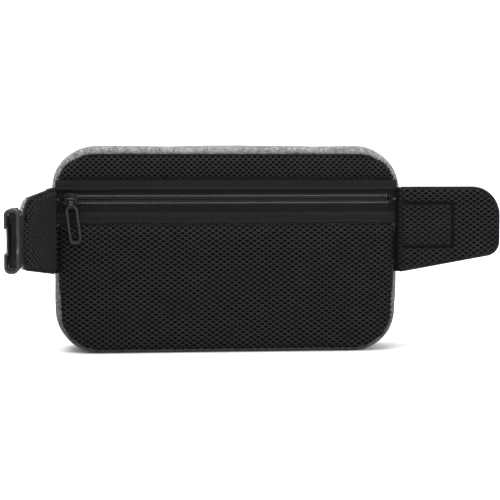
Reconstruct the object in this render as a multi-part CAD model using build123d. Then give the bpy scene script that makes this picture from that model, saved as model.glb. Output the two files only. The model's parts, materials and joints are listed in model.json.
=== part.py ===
"""Waist-worn throw rope bag: zipped pouch with a padded mesh back, two padded belt wings,
a side-release buckle and its webbing.  Millimetres, +Z up, -Y is the side worn against the body,
origin in the middle of the flat base."""

from build123d import *
from math import cos, radians, sin
import os

os.makedirs("parts", exist_ok=True)

# ---- pouch -------------------------------------------------------------------------------
bag_height = 165.5
half_width_base = 136.0
side_flare = 5.0
corner_top = 34.0
corner_base = 34.0
gusset_back = -26.0
gusset_front = 22.0
front_face = 34.0
fabric = 2.5
back_round = 5.5
front_round = 11.0
flange_reach = 8.5
piping_wide = 1.5
piping_tall = 1.8
divider_back = -20.0
divider_thick = 1.5

# ---- padded back ---------------------------------------------------------------------------
pad_thick = 6.0
pad_skin = 1.2
pad_round = 3.0
facing_thick = 2.6
facing_above_zip = 7.2
facing_upper_wide = 8.0
facing_below_zip = 9.8
facing_lower_wide = 9.3

# ---- zips ----------------------------------------------------------------------------------
back_zip_height = 123.8
main_zip_height = 118.0
main_zip_half = 106.0
main_slot_half = 7.6
row_gap = 1.4
row_wide = 2.7
row_tall = 2.0
tape_thick = 0.9
main_tape_wide = 12.0
stop_long = 1.2
slider_long = 10.8
slider_wide = 10.8
slider_plate = 1.25
slider_play = 0.35
bar_radius = 0.75
eye_wall = 0.8
tab_drop = 5.4
tab_step = 2.2
tab_wide = 3.0
loop_long = 31.6
loop_wide = 10.2
loop_rim = 2.3
loop_thick = 2.0
loop_tilt = 7.0

# ---- wings ---------------------------------------------------------------------------------
wing_hinge_in = 1.0
wing_hinge_y = -30.8
wing_length = 83.5
wing_thick = 8.0
wing_skin = 1.2
wing_root = (63.8, 134.2)
right_wing_end = (78.5, 134.5)
left_wing_end = (73.0, 127.0)
wing_corner_high = 24.0
wing_corner_low = 12.0
left_swing = 76.0

# ---- webbing and buckle ----------------------------------------------------------------------
webbing_wide = 38.0
webbing_thick = 1.6
webbing_height = 103.0
left_webbing_end_height = 97.5
housing_bar_out = 8.0
housing_bar_off = 1.4
housing_bar_radius = 2.2
housing_swing = 90.0
housing_long = 39.0
housing_wide = 46.0
housing_thick = 10.5
housing_wall = 1.75
housing_shoulder = 5.6
socket_floor = 10.0
window_from = 14.0
window_to = 28.0
window_deep = 5.6
scallop_radius = 13.0
scallop_deep = 3.2
channel_half = 9.0
channel_deep = 1.6
channel_wall = 1.2
hank_layers = 6
hank_near = 10.0
hank_far = 70.0
hank_pitch = 2.4
strap_rise = 20.0
ladder_u = 35.0
ladder_v = 30.0
ladder_bar_radius = 1.6
plug_thick = 9.0
arm_root_u = 10.4
arm_root_w = 13.5
arm_tip_u = 34.0
arm_boss = 2.0
arm_play = 0.35
keeper_u = 50.0
keeper_wide = 12.0
keeper_thick = 1.0


# ---- levels that follow the sizes above -----------------------------------------------------------
facing_upper_low = back_zip_height + facing_above_zip
upper_pad_low = facing_upper_low + facing_upper_wide
facing_lower_high = back_zip_height - facing_below_zip
lower_pad_high = facing_lower_high - facing_lower_wide


# ---- helpers -----------------------------------------------------------------------------------
def prism_y(flat, back, front):
    """Solid between two depths, from a flat shape whose y is the height."""
    plane = Plane(origin=(0, back, 0), x_dir=(1, 0, 0), z_dir=(0, -1, 0))
    return extrude(plane * flat, amount=-(front - back))


def prism_x(flat, left, right):
    """Solid between two widths, from a flat shape drawn in depth and height."""
    plane = Plane(origin=(left, 0, 0), x_dir=(0, 1, 0), z_dir=(1, 0, 0))
    return extrude(plane * flat, amount=right - left)


def block(x, y, z):
    """Box from three pairs of limits."""
    size = [side[1] - side[0] for side in (x, y, z)]
    centre = [(side[1] + side[0]) / 2 for side in (x, y, z)]
    return Pos(*centre) * Box(*size)


def strip(x, z):
    """Flat rectangle from two pairs of limits."""
    centre = Pos((x[0] + x[1]) / 2, (z[0] + z[1]) / 2)
    return centre * Rectangle(x[1] - x[0], z[1] - z[0])


def upright(radius, low, high, at=(0.0, 0.0)):
    """Standing cylinder between two heights."""
    return Pos(at[0], at[1], (low + high) / 2) * Cylinder(radius, high - low)


def edges_at(shape, axis, value):
    """Edges that lie wholly at one value of an axis."""
    return shape.edges().filter_by_position(axis, value - 0.01, value + 0.01)


def half_width(height):
    """Half of the pouch's width at a height."""
    return half_width_base + side_flare * height / bag_height


def wing_hinge_x():
    """Half the distance between the wing hinges, just inside the pouch's widest point beside a wing."""
    return max(half_width(wing_root[0]), half_width(wing_root[1])) - wing_hinge_in


# ---- pouch ---------------------------------------------------------------------------------------
def pouch_outline(inset=0.0):
    """Outline of the pouch from behind, brought in all round."""
    corners = [
        (-half_width_base, 0),
        (half_width_base, 0),
        (half_width_base + side_flare, bag_height),
        (-half_width_base - side_flare, bag_height),
    ]
    flat = make_face(Polyline(*corners, close=True))
    low = flat.vertices().sort_by(Axis.Y)[:2]
    flat = fillet(low, corner_base)
    high = flat.vertices().sort_by(Axis.Y)[-2:]
    flat = fillet(high, corner_top)
    if inset:
        flat = offset(flat, amount=-inset)
    return flat


def pouch_band(low, high, inset):
    """Part of the pouch outline between two heights."""
    return pouch_outline(inset) & strip((-200, 200), (low, high))


def body_gusset():
    """Side, top and base fabric, with a seam flange turned in behind the back pads."""
    shell = prism_y(pouch_outline(), gusset_back, gusset_front)
    shell = fillet(edges_at(shell, Axis.Y, gusset_back), back_round)
    shell -= prism_y(pouch_outline(fabric), gusset_back + fabric, gusset_front)
    shell -= prism_y(pouch_outline(flange_reach), gusset_back, gusset_back + fabric)
    return shell


def front_panel():
    """Dished front fabric with the window for the main zip."""
    shell = prism_y(pouch_outline(), gusset_front, front_face)
    shell = fillet(edges_at(shell, Axis.Y, front_face), front_round)
    inner = prism_y(pouch_outline(fabric), gusset_front, front_face - fabric)
    inner = fillet(edges_at(inner, Axis.Y, front_face - fabric), front_round - fabric)
    shell -= inner
    window = strip(
        (-main_zip_half, main_zip_half),
        (main_zip_height - main_slot_half, main_zip_height + main_slot_half),
    )
    shell -= prism_y(window, front_face - 2 * fabric, front_face)
    return shell


def back_piping():
    """Cord piping laid in the seam round the back pads."""
    ring = pouch_outline(back_round) - pouch_outline(back_round + piping_wide)
    return prism_y(ring, gusset_back - piping_tall, gusset_back)


def pocket_divider():
    """Lining between the back pocket and the main compartment."""
    return prism_y(pouch_outline(fabric), divider_back, divider_back + divider_thick)


def back_pad(low, high):
    """Spacer mesh skin and the foam inside it for one back pad."""
    inset = back_round + piping_wide
    flat = pouch_band(low, high, inset)
    face = gusset_back - pad_thick
    skin = prism_y(flat, face, gusset_back)
    skin = fillet(edges_at(skin, Axis.Y, face), pad_round)
    foam = prism_y(offset(flat, amount=-pad_skin), face + pad_skin, gusset_back)
    foam = fillet(edges_at(foam, Axis.Y, face + pad_skin), pad_round - pad_skin)
    return skin - foam, foam


def zip_facing(low, high):
    """Woven strip that edges the back zip."""
    flat = pouch_band(low, high, back_round + piping_wide)
    top = gusset_back - tape_thick
    piece = prism_y(flat, top - facing_thick, top)
    long_edges = edges_at(piece, Axis.Y, top - facing_thick).filter_by(Axis.X)
    return fillet(long_edges, 1.0)


# ---- zips, drawn with the tape's inner face at y = 0 and the outside towards -y ------------------
def zip_row(side, left, right):
    """One row of coil."""
    near = row_gap / 2
    low, high = sorted((side * near, side * (near + row_wide)))
    piece = block((left, right), (-tape_thick - row_tall, -tape_thick), (low, high))
    return fillet(edges_at(piece, Axis.Y, -tape_thick - row_tall).filter_by(Axis.X), 0.9)


def zip_stop(side, left, right):
    """Metal clip at the end of one row."""
    near = row_gap / 2
    low, high = sorted((side * near, side * (near + row_wide)))
    return block((left, right), (-tape_thick - row_tall - 0.3, -tape_thick), (low, high))


def zip_slider():
    """Two plates, side flanges, dividing post and the bar that carries the pull; starts at x = 0."""
    face = -tape_thick - row_tall - slider_play
    half = slider_wide / 2
    corners = [
        (0.0, half - 0.6),
        (3.6, half),
        (slider_long, half - 1.3),
        (slider_long, 1.3 - half),
        (3.6, -half),
        (0.0, 0.6 - half),
    ]
    plan = fillet(make_face(Polyline(*corners, close=True)).vertices(), 1.1)
    front = prism_y(plan, face - slider_plate, face)
    back = prism_y(offset(plan, amount=-0.7), slider_play, slider_play + 1.0)
    row_edge = row_gap / 2 + row_wide + slider_play
    rim = plan - strip((-1, slider_long + 1), (-row_edge, row_edge))
    flange = prism_y(rim, face, -tape_thick - slider_play)
    post_half = row_gap / 2 - slider_play
    post = block((1.0, 4.6), (face, slider_play), (-post_half, post_half))
    centre = face - slider_plate - slider_play - bar_radius - slider_play - eye_wall
    reach = (1.6, slider_long - 1.2)
    bar = Pos(sum(reach) / 2, centre, 0) * Rot(0, 90, 0) * Cylinder(bar_radius, reach[1] - reach[0])
    piece = front + back + flange + post + bar
    for x in reach:
        lug = block((x - 0.8, x + 0.8), (centre - bar_radius, face - slider_plate), (-1.1, 1.1))
        piece += fillet(edges_at(lug, Axis.Y, centre - bar_radius), 0.5)
    return piece


def slider_bar_y():
    """Depth of the slider's bar in front of the tape's inner face."""
    face = -tape_thick - row_tall - slider_play
    return face - slider_plate - 2 * slider_play - bar_radius - eye_wall


def loop_y():
    """Depth of the pull loop in front of the tape's inner face."""
    return slider_bar_y() - tab_step


def pull_tab():
    """Metal strip folded round the slider's bar above and the pull loop below."""
    top = Pos(slider_bar_y(), 0)
    low = Pos(loop_y(), -tab_drop)
    top_hole = bar_radius + slider_play
    low_hole = loop_rim / 2 + 0.9
    flat = top * Circle(top_hole + eye_wall) + low * Circle(low_hole + eye_wall)
    web = Polyline((slider_bar_y(), 0), (loop_y(), -tab_drop))
    flat += trace(web, 1.7)
    flat -= top * Circle(top_hole) + low * Circle(low_hole)
    middle = slider_long / 2
    return prism_x(flat, middle - tab_wide / 2, middle + tab_wide / 2)


def pull_loop():
    """Long open moulded loop that hangs from the pull tab."""
    outer = Rot(0, 0, 90) * SlotOverall(loop_long, loop_wide)
    inner = Rot(0, 0, 90) * SlotOverall(loop_long - 2 * loop_rim, loop_wide - 2 * loop_rim)
    ring = prism_y(outer - inner, -loop_thick / 2, loop_thick / 2)
    ring = fillet(ring.edges(), 0.7)
    hang = Pos(0, 0, -loop_long / 2 + loop_rim / 2) * ring
    place = Pos(slider_long / 2, loop_y(), -tab_drop)
    return place * Rot(0, -loop_tilt, 0) * hang


# ---- wings, drawn outwards along +x from the seam, +y away from the wearer -----------------------
def wing_outline(end):
    """Tapered outline of a wing from its root to its rounded end."""
    barrel = wing_thick / 2
    points = [
        (-barrel, wing_root[0]),
        (0.0, wing_root[0]),
        (wing_length, end[0]),
        (wing_length, end[1]),
        (0.0, wing_root[1]),
        (-barrel, wing_root[1]),
    ]
    flat = make_face(Polyline(*points, close=True))
    tip = flat.vertices().filter_by_position(Axis.X, wing_length - 0.1, wing_length + 0.1)
    flat = fillet(tip.sort_by(Axis.Y)[:1], wing_corner_low)
    tip = flat.vertices().sort_by(Axis.Y).filter_by_position(Axis.X, wing_length - 0.1, wing_length + 0.1)
    return fillet(tip[-1:], wing_corner_high)


def wing(end):
    """Mesh lining, foam and outer cover of one wing."""
    half = wing_thick / 2
    flat = wing_outline(end)
    envelope = block((0, 200), (-half, half), (0, 200)) + upright(half, 0, 200)
    seam = wing_skin - half
    inner_flat = offset(flat, amount=-wing_skin) & strip((wing_skin, 200), (0, 200))
    foam = prism_y(inner_flat, seam, half - wing_skin)
    mesh = prism_y(flat, -half, seam) & envelope
    outer = prism_y(flat, seam, half)
    rim = edges_at(outer, Axis.Y, half).filter_by_position(Axis.X, 0.5, 200)
    cover = (fillet(rim, 2.5) & envelope) - foam
    return mesh, foam, cover


def left_webbing():
    """Webbing sewn on the outside of the left wing and looped round the buckle's bar."""
    near = wing_thick / 2
    half = webbing_wide / 2
    end = wing_length + housing_bar_out
    low, high = left_webbing_end_height - half, left_webbing_end_height + half
    flat = make_face(Polyline(
        (6.0, webbing_height - half),
        (end, low),
        (end, high),
        (6.0, webbing_height + half),
        close=True,
    ))
    lay = prism_y(flat, near, near + webbing_thick)
    inner = housing_bar_radius + 0.4
    turn = inner + webbing_thick
    axis = (end, housing_bar_off)
    ring = upright(turn, low, high, axis) - upright(inner, low, high, axis)
    return (lay + ring) - upright(inner, low - 1, high + 1, axis)


def left_bar():
    """Place of the buckle's bar in the wing's own frame."""
    return wing_length + housing_bar_out, housing_bar_off


# ---- buckle ----------------------------------------------------------------------------------------
def buckle_housing():
    """Socket half: bar at the origin, mouth towards +x, windows for the latches above and below."""
    half_w = housing_wide / 2
    half_t = housing_thick / 2
    plan = [
        (housing_shoulder, half_w - 4.0),
        (housing_shoulder + 9.0, half_w),
        (housing_long, half_w),
        (housing_long, -half_w),
        (housing_shoulder + 9.0, -half_w),
        (housing_shoulder, 4.0 - half_w),
    ]
    body = prism_y(make_face(Polyline(*plan, close=True)), -half_t, half_t)
    body = fillet(body.edges().filter_by(Axis.X), half_t - 0.8)
    socket = block(
        (socket_floor, housing_long + 1),
        (housing_wall - half_t, half_t - housing_wall),
        (housing_wall + 0.5 - half_w, half_w - housing_wall - 0.5),
    )
    socket = fillet(socket.edges().filter_by(Axis.X), 2.2)
    ridge = half_t - channel_deep - channel_wall
    ridge_half = channel_half + channel_wall
    socket -= block((0, housing_long + 2), (ridge, half_t), (-ridge_half, ridge_half))
    body -= socket
    channel = block(
        (socket_floor + 2.0, housing_long + 1),
        (half_t - channel_deep, half_t + 1),
        (-channel_half, channel_half),
    )
    body -= channel
    for side in (-1, 1):
        low, high = sorted((side * (half_w - window_deep), side * (half_w + 1)))
        window = block((window_from, window_to), (-half_t - 1, half_t + 1), (low, high))
        body -= fillet(window.edges().filter_by(Axis.Y), 2.4)
    scallop = Pos(housing_long + scallop_radius - scallop_deep, 0) * Circle(scallop_radius)
    body -= prism_y(scallop, -half_t - 1, half_t + 1)
    for side in (-1, 1):
        low, high = sorted((side * (webbing_wide / 2 + 0.5), side * (half_w - 0.2)))
        rail = block(
            (-housing_bar_radius, housing_shoulder + 6.0),
            (-housing_bar_radius, housing_bar_radius),
            (low, high),
        )
        body += fillet(edges_at(rail, Axis.X, -housing_bar_radius).filter_by(Axis.Y), 1.6)
    reach = webbing_wide / 2 + 0.6
    return body + upright(housing_bar_radius, -reach, reach)


def buckle_plug_base():
    """Plug half without its latches: ladder bar at the origin, guide tongue towards +x."""
    half_w = housing_wide / 2
    half_t = plug_thick / 2
    rail_in = webbing_wide / 2 + 0.6
    base = prism_y(strip((-8.9, 10.0), (-half_w, half_w)), -half_t, half_t)
    base = fillet(base.edges().filter_by(Axis.Y), 3.0)
    base = fillet(edges_at(base, Axis.Y, half_t) + edges_at(base, Axis.Y, -half_t), 1.2)
    base -= block((-5.3, 4.4), (-half_t - 1, half_t + 1), (-rail_in, rail_in))
    for low, high in ((1.2, half_t + 1), (-half_t - 1, -1.2)):
        base -= block((-9.5, -5.2), (low, high), (-rail_in, rail_in))
    base += upright(ladder_bar_radius, -rail_in - 0.5, rail_in + 0.5)
    for side in (-1, 1):
        notch = Pos(arm_root_u, side * arm_root_w) * Circle(arm_boss + arm_play)
        base -= prism_y(notch, -half_t - 1, half_t + 1)
    tongue = fillet(strip((9.0, 30.0), (-3.0, 3.0)).vertices().sort_by(Axis.X)[-2:], 2.0)
    return base + prism_y(tongue, -1.8, 1.8)


def latch_arm(side):
    """Sprung side latch with its barb."""
    points = [
        (arm_root_u + 0.6, arm_root_w - arm_boss),
        (arm_tip_u - 1.0, arm_root_w + 1.2),
        (arm_tip_u, arm_root_w + 3.6),
        (29.0, 22.6),
        (23.5, 22.6),
        (23.0, 18.4),
        (arm_root_u + 0.6, arm_root_w + arm_boss),
    ]
    flat = make_face(Polyline(*points, close=True))
    flat = fillet(flat.vertices().sort_by(Axis.X)[2:], 0.9) + Pos(arm_root_u, arm_root_w) * Circle(arm_boss)
    arm = prism_y(flat, -2.9, 2.9)
    return arm if side > 0 else mirror(arm, about=Plane.XY)


def strap_path():
    """Centreline of the belt strap seen from above, from its stitching to the ladder bar."""
    start = wing_thick / 2 + webbing_thick / 2
    points = [(6.0, start)]
    for layer in range(hank_layers):
        turn = hank_far if layer % 2 == 0 else hank_near
        points.append((turn, start + layer * hank_pitch))
        points.append((turn, start + (layer + 1) * hank_pitch))
    wrap = ladder_bar_radius + 0.4 + webbing_thick / 2
    slope = radians(strap_rise)
    end = (ladder_u + wrap * sin(slope), ladder_v - wrap * cos(slope))
    last = points[-1][1]
    points.append((end[0] - (end[1] - last) * cos(slope) / sin(slope), last))
    points.append(end)
    return points


def belt_strap():
    """Belt webbing folded in a hank behind the right wing, its end round the ladder bar."""
    half = webbing_wide / 2
    line = FilletPolyline(*strap_path(), radius=hank_pitch / 2 - 0.02)
    flat = trace(line, webbing_thick)
    inner = ladder_bar_radius + 0.4
    place = Pos(ladder_u, ladder_v)
    slope = radians(strap_rise)
    wrap = inner + webbing_thick / 2
    tail_start = (ladder_u + wrap * sin(slope), ladder_v + wrap * cos(slope))
    tail_end = (tail_start[0] - 22 * cos(slope), tail_start[1] + 22 * sin(slope))
    flat += trace(Polyline(tail_start, tail_end), webbing_thick)
    flat += place * Circle(inner + webbing_thick)
    flat -= place * Circle(inner)
    return Pos(0, 0, webbing_height - half) * extrude(flat, amount=webbing_wide)


def strap_keeper():
    """Elastic band from the wing's cover round the folded strap."""
    near = wing_thick / 2
    far = near + hank_pitch * (hank_layers - 1) + webbing_thick + 0.3
    half = webbing_wide / 2 + 0.3
    band = (keeper_u - keeper_wide / 2, keeper_u + keeper_wide / 2)
    outer = block(
        band,
        (near, far + keeper_thick),
        (webbing_height - half - keeper_thick, webbing_height + half + keeper_thick),
    )
    return outer - block(band, (near, far), (webbing_height - half, webbing_height + half))


# ---- assembly --------------------------------------------------------------------------------------
def on_left_wing(shape):
    """Place a piece drawn in the wing's frame on the left side, swung forward."""
    turned = Rot(0, 0, left_swing) * mirror(shape, about=Plane.YZ)
    return Pos(-wing_hinge_x(), wing_hinge_y, 0) * turned


def on_right_wing(shape):
    """Place a piece drawn in the wing's frame on the right side."""
    return Pos(wing_hinge_x(), wing_hinge_y, 0) * shape


def on_back_zip(shape):
    """Place a zip piece on the back of the pouch."""
    return Pos(0, gusset_back, back_zip_height) * shape


def on_main_zip(shape):
    """Place a zip piece on the front of the pouch."""
    tape = front_face - fabric - tape_thick
    return Pos(0, tape, main_zip_height) * Rot(0, 0, 180) * shape


def save(name, *shapes):
    """Write one node."""
    whole = shapes[0] if len(shapes) == 1 else Compound(children=list(shapes))
    export_step(whole, "parts/" + name + ".step")


def build_zip(name, place, half, slider_x, tape_of):
    """Tapes, rows, stops, slider and pull of one zip."""
    for side, word in ((1, "upper"), (-1, "lower")):
        save(name + "_zip_tape_" + word, place(tape_of(side)))
        row = zip_row(side, stop_long - half, half - stop_long)
        save(name + "_zip_coil_" + word, place(row))
    stops = []
    for side in (1, -1):
        stops.append(place(zip_stop(side, -half, stop_long - half)))
        stops.append(place(zip_stop(side, half - stop_long, half)))
    save(name + "_zip_stops", *stops)
    save(name + "_slider", place(Pos(slider_x, 0, 0) * zip_slider()))
    save(name + "_pull_tab", place(Pos(slider_x, 0, 0) * pull_tab()))
    save(name + "_pull_loop", place(Pos(slider_x, 0, 0) * pull_loop()))


def back_tape(side):
    """Tape of the back zip, out to the pad edge."""
    edges = (lower_pad_high, back_zip_height - row_gap / 2)
    if side > 0:
        edges = (back_zip_height + row_gap / 2, upper_pad_low)
    flat = pouch_band(edges[0], edges[1], back_round + piping_wide)
    return Pos(0, 0, -back_zip_height) * prism_y(flat, -tape_thick, 0)


def main_tape(side):
    """Tape of the main zip."""
    low, high = sorted((side * row_gap / 2, side * main_tape_wide))
    reach = main_zip_half + 4.0
    return block((-reach, reach), (-tape_thick, 0), (low, high))


save("body_gusset", body_gusset())
save("front_panel", front_panel())
save("pocket_divider", pocket_divider())
save("back_piping", back_piping())

upper_mesh, upper_foam = back_pad(upper_pad_low, bag_height)
lower_mesh, lower_foam = back_pad(0.0, lower_pad_high)
save("back_mesh_upper", upper_mesh)
save("back_foam_upper", upper_foam)
save("back_mesh_lower", lower_mesh)
save("back_foam_lower", lower_foam)
save("zip_facing_upper", zip_facing(facing_upper_low, upper_pad_low))
save("zip_facing_lower", zip_facing(lower_pad_high, facing_lower_high))

back_zip_half = half_width(back_zip_height - 20) - back_round - piping_wide
build_zip("back", on_back_zip, back_zip_half, 1.9 - back_zip_half, back_tape)
build_zip("main", on_main_zip, main_zip_half, 1.9 - main_zip_half, main_tape)

for word, end, place in (("left", left_wing_end, on_left_wing), ("right", right_wing_end, on_right_wing)):
    mesh, foam, cover = wing(end)
    save(word + "_wing_mesh", place(mesh))
    save(word + "_wing_foam", place(foam))
    save(word + "_wing_cover", place(cover))

save("left_webbing", on_left_wing(left_webbing()))
bar_u, bar_v = left_bar()
bar_place = on_left_wing(Pos(bar_u, bar_v, left_webbing_end_height) * Box(1, 1, 1)).center()
housing = Rot(0, 0, housing_swing) * mirror(buckle_housing(), about=Plane.YZ)
save("buckle_housing", Pos(bar_place.X, bar_place.Y, left_webbing_end_height) * housing)

save("belt_strap", on_right_wing(belt_strap()))
save("strap_keeper", on_right_wing(strap_keeper()))
plug_place = Pos(ladder_u, ladder_v, webbing_height)
save("buckle_plug_base", on_right_wing(plug_place * buckle_plug_base()))
save("latch_arm_upper", on_right_wing(plug_place * latch_arm(1)))
save("latch_arm_lower", on_right_wing(plug_place * latch_arm(-1)))
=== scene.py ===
"""Waist-worn throw rope bag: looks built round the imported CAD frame, laid out as an add-on."""

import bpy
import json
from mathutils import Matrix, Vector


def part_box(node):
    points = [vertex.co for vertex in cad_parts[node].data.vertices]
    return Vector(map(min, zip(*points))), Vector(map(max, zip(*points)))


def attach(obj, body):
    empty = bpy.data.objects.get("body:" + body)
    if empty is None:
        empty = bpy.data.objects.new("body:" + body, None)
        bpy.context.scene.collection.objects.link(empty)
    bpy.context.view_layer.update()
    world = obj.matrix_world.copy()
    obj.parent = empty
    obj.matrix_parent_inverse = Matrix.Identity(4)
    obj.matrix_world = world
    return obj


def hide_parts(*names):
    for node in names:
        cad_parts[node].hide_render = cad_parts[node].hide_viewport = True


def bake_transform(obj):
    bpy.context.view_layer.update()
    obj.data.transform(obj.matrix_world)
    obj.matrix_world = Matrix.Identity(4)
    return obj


bl_info = {
    "name": "Throw Rope Bag",
    "version": (1, 0, 0),
    "blender": (4, 5, 0),
    "location": "3D View > Sidebar > Rope Bag",
    "description": "Builds the fabric, mesh, zips and stitching of a waist-worn throw rope bag",
    "category": "Object",
}

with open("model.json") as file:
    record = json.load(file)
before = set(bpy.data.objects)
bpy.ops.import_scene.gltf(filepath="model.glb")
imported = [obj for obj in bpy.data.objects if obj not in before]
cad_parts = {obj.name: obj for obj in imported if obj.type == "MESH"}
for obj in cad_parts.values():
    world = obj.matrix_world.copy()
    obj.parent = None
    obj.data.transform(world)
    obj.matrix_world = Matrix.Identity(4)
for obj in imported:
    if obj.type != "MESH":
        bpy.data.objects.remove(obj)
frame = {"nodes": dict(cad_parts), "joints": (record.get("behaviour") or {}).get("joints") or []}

import json
import math

import bmesh
import bpy
import numpy as np
from bpy.props import FloatProperty, FloatVectorProperty, PointerProperty
from bpy.types import Operator, Panel, PropertyGroup
from mathutils import Matrix, Vector, noise
from mathutils.bvhtree import BVHTree

# ---------------------------------------------------------------- places, in metres

# Layers of the pouch along y, from the worn side to the front
PAD_FACE = -0.0302
PAD_FRONT_HALF = -0.028
TAPE_FACE = -0.02695
FACING_BASE = -0.0269
PAD_BACK = -0.0262
BACK_SEAM = -0.026
FRONT_SEAM = 0.022
MAIN_ZIP_DEPTH = 0.0306
FRONT_FACE = 0.034

# Heights, each pair the lower and upper edge
MIDDLE_HEIGHT = 0.083
FLAT_BASE = 0.03
BACK_ZIP_HEIGHT = 0.1238
MAIN_ZIP_HEIGHT = 0.118
MAIN_WINDOW = (0.1104, 0.1256)
UPPER_PAD = (0.139, 0.1604)
LOWER_PAD = (0.0, 0.1047)
UPPER_FACING = (0.131, 0.139)
LOWER_FACING = (0.1047, 0.114)
UPPER_TAPE = (0.1245, 0.1332)
LOWER_TAPE = (0.1118, 0.1231)
WING_ENDS = {"right": (0.0785, 0.1345), "left": (0.073, 0.127)}

# Widths, radii and depths of the soft pieces
MAIN_WINDOW_HALF = 0.106
SMALLEST_RADIUS = 0.0004
WING_CORNERS = (0.001, 0.012, 0.024, 0.001)
BROAD_RIPPLE = 0.0009
FINE_RIPPLE = 0.0004
PAD_EDGE = 0.006
PAD_EDGE_DROP = 0.0022
UPPER_PAD_LEAN = 0.0034
FACING_RISE = 0.0023
NET_MARGIN = 0.0006
NET_TAPER = 0.0022
# Length and thickness of the pale ticks painted as highlights on the coils
COIL_HIGHLIGHT_LONG = 0.0011
COIL_HIGHLIGHT_THICK = 0.00052

# Left, right, lower and upper side of the box sewn on the right wing, in the wing's own frame
SEWN_BOX = (0.003, 0.0435, 0.0855, 0.1205)

# Sections as (how far across, how far out)
FACING_PROFILE = (
    (0.0, 0.0), (-0.02, 0.55), (0.04, 0.95), (0.14, 1.08), (0.22, 0.92),
    (0.32, 1.02), (0.6, 1.05), (0.8, 0.98), (0.9, 0.85), (1.02, 0.8),
)
HEM_PROFILE = ((0.0006, 0.0), (0.0008, 0.0007), (0.0015, 0.0012), (0.0024, 0.0010), (0.0032, 0.0001))
GROOVE_PROFILE = ((-0.0013, 0.0001), (-0.0007, 0.0008), (0.0007, 0.0008), (0.0013, 0.0001))

# A stitch's stations as (along, width, lift), in parts of its length and of its half thickness
STITCH_PROFILE = (
    (-0.5, 0.35, -0.9), (-0.42, 0.85, -0.1), (0.0, 1.0, 0.25), (0.42, 0.85, -0.1), (0.5, 0.35, -0.9),
)

# How finely the outlines are drawn, and from where surfaces are looked up
RING_STEP = 0.0035
PAD_STEP = 0.0025
WING_STEP = 0.0025
ROOT_ROWS = 24
CLOTH_FRAMES = 15
LOOK_FROM = -0.2
FALL_BACK = -0.03

# Stage: the floor's sweep as y and z; each lamp's place, aim, size and power; the camera
FLOOR_SWEEP = ((-3.0, 0.0), (0.0, 0.0), (0.9, 0.0), (1.3, 0.06), (1.6, 0.25), (1.75, 0.6), (1.8, 2.5))
LAMPS = (
    ("key", (-0.35, -0.7, 1.5), (0, 0, 0.08), 1.1, 26),
    ("fill", (0.9, -1.1, 0.5), (0, 0, 0.08), 1.0, 10),
    ("backdrop", (0.0, 0.5, 1.6), (0, 1.6, 0.3), 1.6, 22),
)
CAMERA_TARGET = (0.0177, -0.032, 0.083)
CAMERA_SIDE = -5
CAMERA_RISE = 3.5
CAMERA_FAR = 1.172

# ---------------------------------------------------------------- settings


def length(name, description, default):
    """A size in metres for a property group."""
    return FloatProperty(name=name, description=description, default=default, unit="LENGTH", precision=5)


def colour(name, description, default):
    """A linear colour for a property group."""
    return FloatVectorProperty(
        name=name, description=description, default=default, subtype="COLOR", size=3, min=0.0, max=1.0
    )


class RopeBagSizes(PropertyGroup):
    half_base: length("Half width at base", "Half of the pouch's width at its base", 0.136)
    half_top: length("Half width at top", "Half of the pouch's width at its top", 0.141)
    height: length("Height", "Height of the pouch", 0.1655)
    corner_base: length("Base corner", "Radius of the lower corners", 0.034)
    corner_top: length("Top corner", "Radius of the upper corners", 0.034)
    back_round: length("Back edge", "Radius between the gusset and the back seam", 0.0030)
    front_round: length("Front edge", "Radius between the gusset and the front panel", 0.011)
    pad_inset: length("Pad inset", "From the pouch's outline to the edge of the back pads", 0.0024)
    cell_wide: length("Mesh cell width", "Width of one diamond of the spacer mesh", 0.0061)
    cell_tall: length("Mesh cell height", "Height of one diamond of the spacer mesh", 0.0042)
    hole_wide: length("Mesh hole width", "Width of one hole in the spacer mesh", 0.0035)
    hole_tall: length("Mesh hole height", "Height of one hole in the spacer mesh", 0.0022)
    mesh_thick: length("Mesh thickness", "How far the spacer mesh stands off the pad", 0.0012)
    tooth_pitch: length("Coil pitch", "Distance between two turns of a zip's coil", 0.0016)
    stitch: length("Stitch", "Length of one stitch", 0.0026)
    stitch_gap: length("Stitch gap", "Gap between two stitches", 0.0008)
    thread: length("Thread", "Diameter of the sewing thread", 0.0005)
    wing_length: length("Wing length", "Length of a belt wing from its seam", 0.0835)
    wing_swing: FloatProperty(
        name="Left wing swing",
        description="How far the left wing stands towards the worn side",
        default=math.radians(76),
        unit="ROTATION",
    )
    wing_thick: length("Wing thickness", "Thickness of a padded wing", 0.008)


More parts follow.
